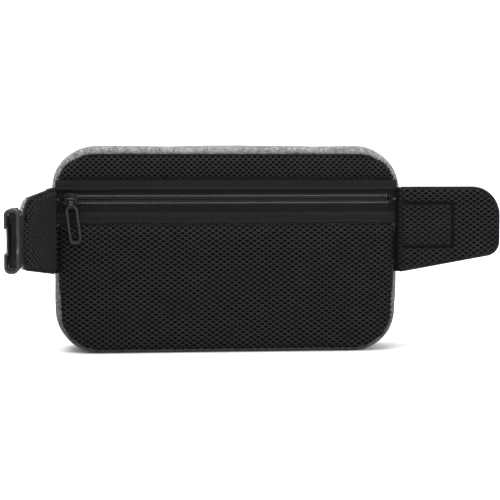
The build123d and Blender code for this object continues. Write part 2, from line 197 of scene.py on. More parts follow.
class RopeBagColours(PropertyGroup):
    grey_light: colour("Heather light", "Light yarn of the heather fabric", (0.30, 0.30, 0.31))
    grey_dark: colour("Heather dark", "Dark yarn of the heather fabric", (0.035, 0.035, 0.038))
    mesh: colour("Mesh", "Yarn of the spacer mesh", (0.011, 0.011, 0.0125))
    # Also the painted shade in the crease of the wing root flaps
    underlay: colour("Underlay", "Cloth seen through the mesh", (0.003, 0.003, 0.0035))
    twill: colour("Twill", "Zip facings and tapes", (0.0072, 0.0072, 0.0080))
    thread: colour("Thread", "Sewing thread", (0.036, 0.036, 0.038))
    plastic: colour("Plastic", "Moulded buckle", (0.010, 0.010, 0.011))
    coil: colour("Coil", "Zip coil", (0.013, 0.013, 0.014))
    # Painted highlight: colour of the pale ticks on the zip coils' turns
    chain: colour("Chain stitch", "Thread that sews the coil down", (0.26, 0.26, 0.27))
    metal: colour("Metal", "Gun-metal zip sliders", (0.022, 0.022, 0.024))
    webbing: colour("Webbing", "Belt webbing", (0.010, 0.010, 0.011))
    rubber: colour("Rubber", "Pull loops", (0.014, 0.014, 0.015))
    lining_dark: colour("Lining dark", "Dark yarn of the pocket divider", (0.09, 0.095, 0.10))
    lining_light: colour("Lining light", "Light yarn of the pocket divider", (0.17, 0.175, 0.18))
    floor: colour("Floor", "Studio floor", (0.86, 0.86, 0.86))


def sizes():
    """The sizes set in the sidebar."""
    return bpy.context.scene.rope_bag_sizes


def colours():
    """The colours set in the sidebar."""
    return bpy.context.scene.rope_bag_colours


# ---------------------------------------------------------------- outlines


def crossing(p, u, q, v):
    """Where the line through p along u meets the line through q along v."""
    along = ((q.x - p.x) * v.y - (q.y - p.y) * v.x) / (u.x * v.y - u.y * v.x)
    return p + u * along


def turn_between(u, v):
    """Angle between two directions."""
    return math.acos(max(-1.0, min(1.0, u.dot(v))))


def rounded(corners, radii, inset, step):
    """Points round a polygon with rounded corners, brought in by inset; the same count at any inset."""
    count = len(corners)
    lines = []
    for i in range(count):
        a, b = Vector(corners[i]), Vector(corners[(i + 1) % count])
        along = (b - a).normalized()
        lines.append((a + Vector((-along.y, along.x)) * inset, along, (b - a).length))
    points = []
    for i in range(count):
        after = (i + 1) % count
        (p, u, _), (q, v, run), (r, w, _) = lines[i - 1], lines[i], lines[after]
        turn = turn_between(u, v)
        radius = max(radii[i] - inset, SMALLEST_RADIUS)
        start = crossing(p, u, q, v) - u * (radius * math.tan(turn / 2))
        centre = start + Vector((-u.y, u.x)) * radius
        spoke = start - centre
        arc = max(3, math.ceil(radii[i] * turn / step))
        for k in range(arc + 1):
            points.append(centre + Matrix.Rotation(turn * k / arc, 2) @ spoke)
        next_radius = max(radii[after] - inset, SMALLEST_RADIUS)
        end = crossing(q, v, r, w) - v * next_radius * math.tan(turn_between(v, w) / 2)
        straight = max(1, round(run / step))
        first = points[-1].copy()
        for k in range(1, straight):
            points.append(first.lerp(end, k / straight))
    return points


def pouch_points(inset, step):
    """Outline of the pouch seen from behind, as x and z."""
    s = sizes()
    corners = [(-s.half_base, 0), (s.half_base, 0), (s.half_top, s.height), (-s.half_top, s.height)]
    return rounded(corners, [s.corner_base, s.corner_base, s.corner_top, s.corner_top], inset, step)


def half_width(z):
    """Half of the pouch's width at a height."""
    s = sizes()
    return s.half_base + (s.half_top - s.half_base) * z / s.height


def back_edge(z, gap):
    """Half of the padded back's width at a height, less a gap."""
    return half_width(z) - sizes().pad_inset - gap


def wing_points(side, inset, start=0.0005):
    """Outline of a wing in its own frame, as distance from the hinge and height."""
    low, high = (corner.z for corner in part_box("right_wing_mesh"))
    far = sizes().wing_length
    end_low, end_high = WING_ENDS[side]
    corners = [(start, low), (far, end_low), (far, end_high), (start, high)]
    return rounded(corners, WING_CORNERS, inset, WING_STEP)


def level_line(half, y, z):
    """Points along x at one depth and height."""
    return [(x, y, z) for x in np.linspace(-half, half, 60)]


class Region:
    """A closed outline that points can be measured against."""

    def __init__(self, points):
        self.a = np.array([tuple(p) for p in points])
        self.b = np.roll(self.a, -1, 0)

    def measure(self, p):
        """Distance inside the outline, negative outside, and the nearest point on it."""
        d = self.b - self.a
        t = ((p[:, None] - self.a) * d).sum(2) / np.maximum((d * d).sum(1), 1e-12)
        near = self.a + np.clip(t, 0, 1)[..., None] * d
        away = np.linalg.norm(p[:, None] - near, axis=2)
        best = away.argmin(1)
        rows = np.arange(len(p))
        x, y = p[:, 0][:, None], p[:, 1][:, None]
        crosses = (self.a[:, 1] > y) != (self.b[:, 1] > y)
        rise = np.where(self.b[:, 1] == self.a[:, 1], 1e-12, self.b[:, 1] - self.a[:, 1])
        at = self.a[:, 0] + (y - self.a[:, 1]) * (self.b[:, 0] - self.a[:, 0]) / rise
        inside = (crosses & (x < at)).sum(1) % 2 == 1
        return np.where(inside, 1, -1) * away[rows, best], near[rows, best]


# ---------------------------------------------------------------- mesh helpers


def piece(name, bm, mats, body, replaces=(), smooth=True):
    """Finish a bmesh as a named piece that rides on a body."""
    mesh = bpy.data.meshes.new(name)
    bmesh.ops.recalc_face_normals(bm, faces=bm.faces)
    bm.to_mesh(mesh)
    bm.free()
    if not mesh.polygons:
        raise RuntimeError(name + " has no faces")
    obj = bpy.data.objects.new(name, mesh)
    bpy.context.scene.collection.objects.link(obj)
    for mat in mats:
        mesh.materials.append(mat)
    if smooth:
        mesh.shade_smooth()
    if body:
        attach(obj, body)
    if replaces:
        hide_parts(*replaces)
    return obj


def arrays_to_bmesh(verts, faces):
    """A bmesh from plain points and faces."""
    bm = bmesh.new()
    made = [bm.verts.new(v) for v in verts]
    for face in faces:
        if len(set(face)) > 2:
            bm.faces.new([made[i] for i in face])
    return bm


def loft(rings, closed=True, cap=False):
    """Bmesh skin through rings of points with equal counts."""
    bm = bmesh.new()
    rows = [[bm.verts.new(p) for p in ring] for ring in rings]
    n = len(rows[0])
    for lower, upper in zip(rows, rows[1:]):
        for i in range(n if closed else n - 1):
            j = (i + 1) % n
            bm.faces.new((lower[i], lower[j], upper[j], upper[i]))
    if cap:
        bm.faces.new(rows[0][::-1])
        bm.faces.new(rows[-1])
    return bm


def scatter(bm, template, places):
    """Copies of a small template bmesh at many places."""
    base = [v.co.copy() for v in template.verts]
    template.verts.index_update()
    faces = [[v.index for v in f.verts] for f in template.faces]
    for place in places:
        made = [bm.verts.new(place @ co) for co in base]
        for face in faces:
            bm.faces.new([made[i] for i in face])
    return bm


def capsule(long, thick, sides=6):
    """Small thread capsule along x, arched so that its ends dive into the cloth."""
    bm = bmesh.new()
    r = thick / 2
    rings = []
    for at, wide, lift in STITCH_PROFILE:
        ring = []
        for k in range(sides):
            turn = 2 * math.pi * k / sides
            across = wide * r * math.sin(turn)
            ring.append(bm.verts.new((at * long, across, lift * r + wide * r * math.cos(turn))))
        rings.append(ring)
    for a, b in zip(rings, rings[1:]):
        for k in range(sides):
            bm.faces.new((a[k], a[(k + 1) % sides], b[(k + 1) % sides], b[k]))
    bm.faces.new(rings[0])
    bm.faces.new(rings[-1][::-1])
    return bm


def slab(outline, y, depth):
    """Closed bmesh of an outline in x and z, drawn out along y."""
    bm = bmesh.new()
    bottom = bm.faces.new([bm.verts.new((p.x, y, p.y)) for p in outline])
    grown = bmesh.ops.extrude_face_region(bm, geom=[bottom])
    moved = [v for v in grown["geom"] if isinstance(v, bmesh.types.BMVert)]
    bmesh.ops.translate(bm, verts=moved, vec=(0, depth, 0))
    return bm


def resample(points, step):
    """Points at even steps along a polyline."""
    line = [Vector(p) for p in points]
    out, left = [line[0]], step
    for a, b in zip(line, line[1:]):
        run = (b - a).length
        at = left
        while at <= run:
            out.append(a.lerp(b, at / run))
            at += step
        left = at - run
    return out


def stitch_places(points, normal):
    """One matrix per stitch of a seam; normal is the way the cloth faces."""
    s = sizes()
    spots = resample(points, s.stitch + s.stitch_gap)
    places = []
    for a, b in zip(spots, spots[1:]):
        along = (b - a).normalized()
        up = Vector(normal).normalized()
        side = up.cross(along).normalized()
        up = along.cross(side)
        turn = Matrix((along, side, up)).transposed().to_4x4()
        places.append(Matrix.Translation((a + b) / 2) @ turn)
    return places


def seam(name, lines, body, mat=None):
    """One piece that holds the stitches of several seams."""
    s = sizes()
    bm = bmesh.new()
    template = capsule(s.stitch, s.thread)
    for points, normal in lines:
        scatter(bm, template, stitch_places(points, normal))
    template.free()
    return piece(name, bm, [mat or thread_material()], body)


def bake(obj):
    """Apply every modifier on an object to its mesh."""
    graph = bpy.context.evaluated_depsgraph_get()
    graph.update()
    mesh = bpy.data.meshes.new_from_object(obj.evaluated_get(graph))
    obj.modifiers.clear()
    old = obj.data
    obj.data = mesh
    bpy.data.meshes.remove(old)


def puff(obj, voxel, pressure, cap, held):
    """Remesh a closed pad and let it swell as cloth; held(co) marks the points that are sewn down."""
    remesh = obj.modifiers.new("remesh", "REMESH")
    remesh.mode = "VOXEL"
    remesh.voxel_size = voxel
    bake(obj)
    start = np.array([v.co for v in obj.data.vertices])
    group = obj.vertex_groups.new(name="sewn")
    group.add([v.index for v in obj.data.vertices if held(v.co)], 1.0, "REPLACE")
    cloth = obj.modifiers.new("cloth", "CLOTH")
    cloth.settings.quality = 5
    cloth.settings.mass = 0.2
    cloth.settings.use_pressure = True
    cloth.settings.uniform_pressure_force = pressure
    cloth.settings.vertex_group_mass = "sewn"
    cloth.settings.effector_weights.gravity = 0
    scene = bpy.context.scene
    for number in range(1, CLOTH_FRAMES + 1):
        scene.frame_set(number)
    graph = bpy.context.evaluated_depsgraph_get()
    swollen = obj.evaluated_get(graph).data
    end = np.array([v.co for v in swollen.vertices])
    move = end - start
    far = np.linalg.norm(move, axis=1, keepdims=True)
    move *= np.minimum(1.0, cap / np.maximum(far, 1e-9))
    obj.modifiers.clear()
    obj.data.vertices.foreach_set("co", (start + move).ravel())
    scene.frame_set(1)
    smooth = obj.modifiers.new("smooth", "SMOOTH")
    smooth.iterations = 2
    bake(obj)


def worn_face(surface, x, z):
    """Where a surface is met first when looked at along +y."""
    return surface.ray_cast(Vector((x, LOOK_FROM, z)), Vector((0, 1, 0)))[0]


def net(region, surface, sink=None, scale=1.0):
    """Spacer mesh as diamonds with holes, laid on the worn side of a surface; sink(x, z) pulls it in."""
    s = sizes()
    a, b = s.cell_wide * scale / 2, s.cell_tall / 2
    low, high = region.a.min(0), region.a.max(0)
    cells = []
    for row in range(math.floor(low[1] / b), math.ceil(high[1] / b) + 1):
        shift = a if row % 2 else 0.0
        first = math.floor((low[0] - shift) / (2 * a))
        last = math.ceil((high[0] - shift) / (2 * a))
        cells += [(shift + 2 * a * k, row * b) for k in range(first, last + 1)]
    cells = np.array(cells)
    inside, _ = region.measure(cells)
    cells = cells[inside > NET_MARGIN]
    diamond = [(1, 0), (0.5, 0.5), (0, 1), (-0.5, 0.5), (-1, 0), (-0.5, -0.5), (0, -1), (0.5, -0.5)]
    edge, sides = np.array(diamond) * (a, b), len(diamond)
    turn = np.arange(sides) * math.pi / 4
    hole = np.stack([np.cos(turn) * s.hole_wide * scale / 2, np.sin(turn) * s.hole_tall / 2], 1)
    rings = [(edge, 1.0), (hole + (edge - hole) * 0.32, 0.94), (hole, 0.62), (hole * 0.93, -0.1)]
    flat = np.concatenate([cells[:, None] + ring for ring, _ in rings], 1).reshape(-1, 2)
    lift = np.tile(np.concatenate([np.full(sides, up) for _, up in rings]), len(cells)) * s.mesh_thick
    deep, near = region.measure(flat)
    flat = np.where((deep < 0)[:, None], near, flat)
    lift = lift * np.clip(deep / NET_TAPER, 0.02, 1.0)
    verts = []
    for (x, z), up in zip(flat, lift):
        hit = worn_face(surface, x, z)
        if hit is None:
            hit = surface.find_nearest(Vector((x, FALL_BACK, z)))[0]
        sunk = sink(x, z) if sink else 0.0
        verts.append((x, hit.y - up - 0.0001 + sunk, z))
    faces = []
    for c in range(len(cells)):
        for ring in range(len(rings) - 1):
            base = (c * len(rings) + ring) * sides
            for k in range(sides):
                j = (k + 1) % sides
                faces.append((base + k, base + j, base + sides + j, base + sides + k))
    bm = arrays_to_bmesh(verts, faces)
    bmesh.ops.remove_doubles(bm, verts=bm.verts, dist=0.00006)
    bmesh.ops.dissolve_degenerate(bm, edges=bm.edges, dist=0.00002)
    return bm


def surface_of(obj):
    """Lookup tree of an object's mesh."""
    mesh = obj.data
    return BVHTree.FromPolygons([v.co for v in mesh.vertices], [tuple(p.vertices) for p in mesh.polygons])


# ---------------------------------------------------------------- materials


def tint(shade, gain):
    """A colour made lighter or darker."""
    return tuple(v * gain for v in shade)


class Shader:
    """Short way to write a node material."""

    def __init__(self, name):
        self.material = bpy.data.materials.new(name)
        self.material.use_nodes = True
        self.tree = self.material.node_tree
        self.surface = self.tree.nodes["Principled BSDF"]
        self.where = self.tree.nodes.new("ShaderNodeTexCoord").outputs["Object"]

    def node(self, kind, inputs=(), **settings):
        """Add a node; inputs maps socket names to values or to other sockets."""
        made = self.tree.nodes.new(kind)
        for key, value in settings.items():
            setattr(made, key, value)
        for key, value in dict(inputs).items():
            if isinstance(value, bpy.types.NodeSocket):
                self.tree.links.new(value, made.inputs[key])
            else:
                made.inputs[key].default_value = value
        return made

    def noise(self, scale, detail=2.0, stretch=(1, 1, 1)):
        """Noise value in object space; scale is per metre."""
        mapped = self.node("ShaderNodeMapping", {"Vector": self.where, "Scale": stretch})
        inputs = {"Vector": mapped.outputs[0], "Scale": scale, "Detail": detail}
        made = self.node("ShaderNodeTexNoise", inputs)
        return made.outputs["Fac"]

    def wave(self, pitch, axis="X", turn=(0, 0, 0), warp=0.0):
        """Even bands that repeat every pitch metres."""
        mapped = self.node("ShaderNodeMapping", {"Vector": self.where, "Rotation": turn})
        made = self.node(
            "ShaderNodeTexWave",
            {"Vector": mapped.outputs[0], "Scale": 0.31416 / pitch, "Distortion": warp, "Detail": 1.0},
            bands_direction=axis,
        )
        return made.outputs["Fac"]

    def mix(self, factor, first, second):
        """Blend of two colours or sockets."""
        made = self.node("ShaderNodeMix", data_type="RGBA")
        for number, value in ((0, factor), (6, first), (7, second)):
            socket = made.inputs[number]
            if isinstance(value, bpy.types.NodeSocket):
                self.tree.links.new(value, socket)
            else:
                socket.default_value = value if isinstance(value, float) else (*value, 1.0)
        return made.outputs[2]

    def curve(self, value, low, high, start=0.0, end=1.0):
        """Value remapped between two limits."""
        made = self.node(
            "ShaderNodeMapRange",
            {"Value": value, "From Min": low, "From Max": high, "To Min": start, "To Max": end},
        )
        return made.outputs[0]

    def math(self, operation, first, second):
        """Sum, product or other arithmetic of two values."""
        made = self.node("ShaderNodeMath", operation=operation)
        for socket, value in zip(made.inputs, (first, second)):
            if isinstance(value, bpy.types.NodeSocket):
                self.tree.links.new(value, socket)
            else:
                socket.default_value = value
        return made.outputs[0]

    def weigh(self, first, part, second):
        """Sum of two values, the first at a part of the whole and the second at the rest."""
        return self.math("ADD", self.math("MULTIPLY", first, part), self.math("MULTIPLY", second, 1 - part))

    def shade(self, factor, shade, low, high=1.0):
        """A colour that runs between two tints of itself."""
        return self.mix(factor, tint(shade, low), tint(shade, high))

    def finish(self, colour, roughness, height=None, depth=0.0002, metallic=0.0, sheen=0.0, gloss=0.08):
        """Join the pieces to the surface."""
        for key, value in (("Base Color", colour), ("Roughness", roughness)):
            if isinstance(value, bpy.types.NodeSocket):
                self.tree.links.new(value, self.surface.inputs[key])
            else:
                self.surface.inputs[key].default_value = (*value, 1.0) if key == "Base Color" else value
        self.surface.inputs["Metallic"].default_value = metallic
        self.surface.inputs["Sheen Weight"].default_value = sheen
        self.surface.inputs["Sheen Roughness"].default_value = 0.5
        self.surface.inputs["Specular IOR Level"].default_value = gloss
        if height is not None:
            bump = self.node("ShaderNodeBump", {"Height": height, "Distance": depth, "Strength": 1.0})
            self.tree.links.new(bump.outputs[0], self.surface.inputs["Normal"])
        return self.material


def shared(make):
    """Build a material once and hand the same one out afterwards."""

    def get():
        name = "rope_bag_" + make.__name__.replace("_material", "")
        return bpy.data.materials.get(name) or make(name)

    return get


@shared
def heather_material(name):
    """Grey heather fabric, flecked, with painted shade that darkens it towards the base."""
    c, sh = colours(), Shader(name)
    fleck = sh.noise(1500, 3.0, (1.0, 1.0, 0.45))
    cloud = sh.noise(260, 2.0)
    streak = sh.noise(3200, 1.0, (0.3, 0.3, 1.0))
    tone = sh.weigh(fleck, 0.6, streak)
    tone = sh.math("ADD", tone, sh.math("MULTIPLY", sh.math("SUBTRACT", cloud, 0.5), 0.25))
    yarn = sh.mix(sh.curve(tone, 0.38, 0.60), tuple(c.grey_dark), tuple(c.grey_light))
    # Painted shade: below 10 cm the heather is mixed towards a darker grey, most at the base
    height = sh.node("ShaderNodeSeparateXYZ", {"Vector": sh.where}).outputs[2]
    yarn = sh.mix(sh.curve(height, 0.0, 0.10, 0.80, 0.0), yarn, tint(c.grey_dark, 0.6))
    weave = sh.math("MULTIPLY", sh.wave(0.0007, "X"), sh.wave(0.0007, "Z"))
    return sh.finish(yarn, 0.85, sh.math("ADD", weave, fleck), 0.00018, sheen=0.04)


@shared
def mesh_material(name):
    """Knitted yarn of the spacer mesh."""
    c, sh = colours(), Shader(name)
    knit = sh.noise(2600, 2.0)
    cloud = sh.noise(60, 2.0)
    tone = sh.shade(sh.curve(sh.weigh(knit, 0.7, cloud), 0.35, 0.65), c.mesh, 0.7, 1.4)
    return sh.finish(tone, 0.72, knit, 0.00012, sheen=0.01)


@shared
def underlay_material(name):
    """Dark cloth under the spacer mesh, also laid on the wing root flaps as painted shade."""
    c, sh = colours(), Shader(name)
    grain = sh.noise(1800, 2.0)
    return sh.finish(sh.shade(grain, c.underlay, 0.6), 0.95, grain, 0.0001)


@shared
def twill_material(name):
    """Twill of the zip facings, with its slanting lines."""
    c, sh = colours(), Shader(name)
    line = sh.wave(0.0011, "X", (0, math.radians(35), 0), 0.6)
    grain = sh.noise(2400, 2.0)
    tone = sh.weigh(line, 0.6, grain)
    return sh.finish(sh.shade(tone, c.twill, 0.35, 1.6), 0.78, tone, 0.00022, sheen=0.01)


@shared
def tape_material(name):
    """Plain weave of the zip tapes."""
    c, sh = colours(), Shader(name)
    line = sh.math("MULTIPLY", sh.wave(0.0008, "X"), sh.wave(0.0009, "Z"))
    grain = sh.noise(2600, 2.0)
    tone = sh.weigh(line, 0.6, grain)
    return sh.finish(sh.shade(tone, c.twill, 0.5, 1.5), 0.8, tone, 0.0002, sheen=0.01)


@shared
def thread_material(name):
    """Twisted sewing thread."""
    c, sh = colours(), Shader(name)
    twist = sh.wave(0.0006, "X", (0, 0.6, 0.6))
    return sh.finish(sh.shade(twist, c.thread, 0.6), 0.6, twist, 0.0001, sheen=0.02)


@shared
def chain_material(name):
    """Pale ticks painted as highlights on the turns of the zip coils."""
    c, sh = colours(), Shader(name)
    twist = sh.wave(0.0005, "Z", (0, 0.5, 0))
    return sh.finish(sh.shade(twist, c.chain, 0.6), 0.5, twist, 0.00006)


@shared
def webbing_material(name):
    """Ribbed belt webbing."""
    c, sh = colours(), Shader(name)
    rib = sh.wave(0.0018, "Z")
    cross = sh.noise(2200, 2.0, (1.0, 1.0, 0.35))
    tone = sh.weigh(rib, 0.6, cross)
    return sh.finish(sh.shade(tone, c.webbing, 0.5, 1.6), 0.66, tone, 0.0003, sheen=0.01)


@shared
def plastic_material(name):
    """Moulded buckle plastic with a little wear."""
    c, sh = colours(), Shader(name)
    grain = sh.noise(2400, 2.0)
    wear = sh.noise(70, 3.0)
    tone = sh.shade(sh.curve(wear, 0.35, 0.75), c.plastic, 1.0, 1.6)
    return sh.finish(tone, sh.curve(wear, 0.3, 0.7, 0.36, 0.5), grain, 0.00004, gloss=0.4)


@shared
def coil_material(name):
    """Nylon coil of the zips."""
    c, sh = colours(), Shader(name)
    grain = sh.noise(900, 2.0)
    return sh.finish(sh.shade(grain, c.coil, 0.6, 1.5), 0.5, grain, 0.00003, gloss=0.2)


@shared
def metal_material(name):
    """Cast gun-metal, rubbed brighter in places."""
    c, sh = colours(), Shader(name)
    cast = sh.noise(700, 3.0)
    rub = sh.noise(180, 2.0)
    tone = sh.shade(sh.curve(rub, 0.35, 0.7), c.metal, 0.7, 1.5)
    return sh.finish(tone, sh.curve(rub, 0.3, 0.7, 0.4, 0.24), cast, 0.00004, metallic=1.0)


@shared
def rubber_material(name):
    """Rubbery plastic of the pull loops."""
    c, sh = colours(), Shader(name)
    grain = sh.noise(1600, 2.0)
    rub = sh.noise(120, 2.0)
    tone = sh.shade(sh.curve(rub, 0.3, 0.7), c.rubber, 0.5)
    return sh.finish(tone, 0.45, grain, 0.00004, gloss=0.3)


@shared
def lining_material(name):
    """Woven lining of the pocket divider."""
    c, sh = colours(), Shader(name)
    weave = sh.math("MULTIPLY", sh.wave(0.0006, "X"), sh.wave(0.0006, "Z"))
    return sh.finish(sh.mix(weave, tuple(c.lining_dark), tuple(c.lining_light)), 0.7, weave, 0.0001)


@shared
def floor_material(name):
    """Pale studio floor."""
    c, sh = colours(), Shader(name)
    grain = sh.noise(40, 2.0)
    return sh.finish(sh.shade(grain, c.floor, 0.985), 0.9)


# ---------------------------------------------------------------- pouch


def ring_at(depth, inset, bulge=0.0):
    """One ring of the pouch at a depth, rippled as cloth, with a soft swell that spares the base."""
    plain = pouch_points(inset, RING_STEP)
    swollen = pouch_points(inset - bulge, RING_STEP)
    centre = Vector((0, MIDDLE_HEIGHT))
    out = []
    for p, q in zip(plain, swollen):
        lift = min(1.0, max(0.0, p.y / FLAT_BASE))
        x, z = p.lerp(q, lift)
        ripple = noise.noise(Vector((x * 28, depth * 34, z * 28))) * BROAD_RIPPLE * lift
        ripple += noise.noise(Vector((x * 75, depth * 60, z * 75))) * FINE_RIPPLE * lift
        away = (Vector((x, z)) - centre).normalized() * ripple * (1.0 if bulge else 0.2)
        out.append((x + away.x, depth, max(0.0, z + away.y)))
    return out


def make_gusset():
    """Heather fabric round the sides, top and base."""
    s = sizes()
    rings = [
        ring_at(BACK_SEAM + 0.0012, s.back_round + 0.004),
        ring_at(BACK_SEAM, s.back_round + 0.0014),
    ]
    for k in range(6):
        turn = math.pi / 2 * k / 5
        depth = BACK_SEAM + s.back_round * (1 - math.cos(turn))
        rings.append(ring_at(depth, s.back_round * (1 - math.sin(turn)), 0.0001 * k))
    start = BACK_SEAM + s.back_round
    steps = 12
    for k in range(1, steps):
        t = k / steps
        rings.append(ring_at(start + (FRONT_SEAM - start) * t, 0.0, 0.0005 + 0.0008 * math.sin(math.pi * t)))
    rings.append(ring_at(FRONT_SEAM - 0.0006, 0.0002, 0.0001))
    rings.append(ring_at(FRONT_SEAM, 0.0012))
    piece("pouch_gusset", loft(rings), [heather_material()], "pouch", ("body_gusset",))


def cut_window(panel):
    """Open the main zip's window in the front panel."""
    low, high = MAIN_WINDOW
    box = bmesh.new()
    bmesh.ops.create_cube(box, size=1.0)
    bmesh.ops.scale(box, vec=(2 * MAIN_WINDOW_HALF, 0.02, high - low), verts=box.verts)
    bmesh.ops.translate(box, vec=(0, FRONT_FACE, (low + high) / 2), verts=box.verts)
    mesh = bpy.data.meshes.new("cutter")
    box.to_mesh(mesh)
    box.free()
    cutter = bpy.data.objects.new("cutter", mesh)
    bpy.context.scene.collection.objects.link(cutter)
    cut = panel.modifiers.new("window", "BOOLEAN")
    cut.object = cutter
    cut.operation = "DIFFERENCE"
    cut.solver = "EXACT"
    bake(panel)
    bpy.data.objects.remove(cutter)


def make_welts():
    """Rolled twill welts along both sides of the main zip's window, and their stitches."""
    half = MAIN_WINDOW_HALF
    low, high = MAIN_WINDOW
    for side, word, z in ((-1, "lower", low), (1, "upper", high)):
        rows = []
        for k in range(9):
            turn = 2 * math.pi * k / 8
            y = FRONT_FACE - 0.0004 + 0.0011 * math.sin(turn)
            level = z + 0.0019 * math.cos(turn) + side * 0.0008
            run = np.linspace(-half - 0.001, half + 0.001, 80)
            rows.append([(x, y + 0.0002 * math.sin(x * 90), level) for x in run])
        piece("main_zip_welt_" + word, loft(rows, closed=False), [twill_material()], "pouch")
    lines = []
    for z in (low - 0.0035, high + 0.0035):
        lines.append((level_line(half, FRONT_FACE + 0.0006, z), (0, 1, 0)))
    seam("main_zip_stitches", lines, "pouch")


def make_front():
    """Dished front panel with the main zip's window, welts and stitches."""
    s = sizes()
    rings = [ring_at(FRONT_SEAM, 0.0012), ring_at(FRONT_SEAM + 0.0006, 0.0002, 0.0001)]
    for k in range(1, 8):
        turn = math.pi / 2 * k / 7
        depth = FRONT_SEAM + 0.001 + s.front_round * math.sin(turn)
        rings.append(ring_at(depth, s.front_round * (1 - math.cos(turn)), 0.0012))
    last = rings[-1]
    centre = Vector((0, MIDDLE_HEIGHT))
    for t in np.linspace(0.95, 0.03, 26):
        ring = []
        for x, _, z in last:
            p = centre + (Vector((x, z)) - centre) * t
            near_zip = max(0.0, 1 - abs(p.y - MAIN_ZIP_HEIGHT) / 0.022) * (1 if abs(p.x) < 0.125 else 0)
            loose = 1 - min(1, near_zip * 1.6)
            swell = 0.0028 * (1 - t * t) * loose
            swell += noise.noise(Vector((p.x * 22, 3.1, p.y * 30))) * 0.0011 * loose
            ring.append((p.x, FRONT_FACE + swell, p.y))
        rings.append(ring)
    bm = loft(rings)
    bm.verts.ensure_lookup_table()
    bmesh.ops.contextual_create(bm, geom=bm.verts[-len(last):])
    panel = piece("pouch_front", bm, [heather_material()], "pouch", ("front_panel",))
    cut_window(panel)
    make_welts()


# ---------------------------------------------------------------- back


def make_pad(word, low, high):
    """One foam pad of the back with its spacer mesh; the upper one leans back towards its top."""
    s = sizes()
    upper = word == "upper"
    outline = []
    for p in pouch_points(s.pad_inset + 0.0002, PAD_STEP):
        z = max(p.y, low)
        if upper:
            z = low + (z - low) * (high - low) / (s.height - s.pad_inset - low)
        spot = Vector((p.x, min(z, high)))
        if not outline or (spot - outline[-1]).length > 0.0008:
            outline.append(spot)
    region = Region(outline)
    bm = slab(outline, PAD_BACK, PAD_FACE - PAD_BACK)
    pad = piece("back_pad_" + word, bm, [underlay_material()], "pouch", ("back_foam_" + word,))
    puff(pad, 0.003, 3.0, 0.0016, lambda co: co.y > PAD_BACK - 0.0012)
    for v in pad.data.vertices:
        deep, _ = region.measure(np.array([(v.co.x, v.co.z)]))
        edge = max(0.0, 1 - max(0.0, deep[0]) / PAD_EDGE)
        if v.co.y < PAD_FRONT_HALF:
            v.co.y += PAD_EDGE_DROP * edge * edge
            if upper:
                v.co.y += UPPER_PAD_LEAN * max(0.0, (v.co.z - low) / (high - low)) ** 1.5
    pad.data.shade_smooth()
    lattice = net(region, surface_of(pad), scale=0.8 if upper else 1.0)
    piece("back_net_" + word, lattice, [mesh_material()], "pouch", ("back_mesh_" + word,))


def make_facing(word, low, high):
    """Twill strip along the back zip, folded at the zip's side, and its stitches."""
    zip_side, pad_side = (low, high) if word == "upper" else (high, low)
    phase = 7.3 if word == "upper" else 1.1
    rows = []
    for across, lift in FACING_PROFILE:
        z = zip_side + (pad_side - zip_side) * across
        end = back_edge(z, 0.0004)
        row = []
        for k in range(161):
            x = -end + 2 * end * k / 160
            wave = noise.noise(Vector((x * 60, 0, phase))) * 0.00035
            wave += 0.00012 * math.sin(x / 0.0034 * math.pi)
            y = FACING_BASE - FACING_RISE * lift - (wave if lift > 0.3 else 0)
            row.append((x, y, z + noise.noise(Vector((x * 30, 2, z * 10))) * 0.0004))
        rows.append(row)
    name = "zip_facing_" + word
    piece(name + "_cloth", loft(rows, closed=False), [twill_material()], "pouch", (name,))
    lines = []
    for across, lift in ((0.24, 0.96), (0.84, 0.98)):
        z = zip_side + (pad_side - zip_side) * across
        y = FACING_BASE - FACING_RISE * lift - 0.0001
        lines.append((level_line(back_edge(z, 0.001), y, z), (0, -1, 0)))
    seam(name + "_stitches", lines, "pouch")


def make_tape(word, low, high):
    """Woven tape of the back zip, run out into the side seams."""
    rows = []
    for k in range(7):
        z = low + (high - low) * k / 6
        end = back_edge(z, 0.0002)
        row = []
        for j in range(201):
            x = -end + 2 * end * j / 200
            wave = noise.noise(Vector((x * 45, z * 80, 4.2))) * 0.00025
            row.append((x, TAPE_FACE - abs(wave), z))
        rows.append(row)
    bm = loft(rows, closed=False)
    piece("back_tape_" + word, bm, [tape_material()], "pouch", ("back_zip_tape_" + word,))


def coil_turn():
    """One turn of a zip's coil."""
    bm = bmesh.new()
    bmesh.ops.create_cube(bm, size=1.0)
    bmesh.ops.scale(bm, vec=(sizes().tooth_pitch * 0.56, 0.0017, 0.0031), verts=bm.verts)
    bmesh.ops.bevel(bm, geom=bm.edges, offset=0.00032, segments=2, affect="EDGES", profile=0.6)
    return bm


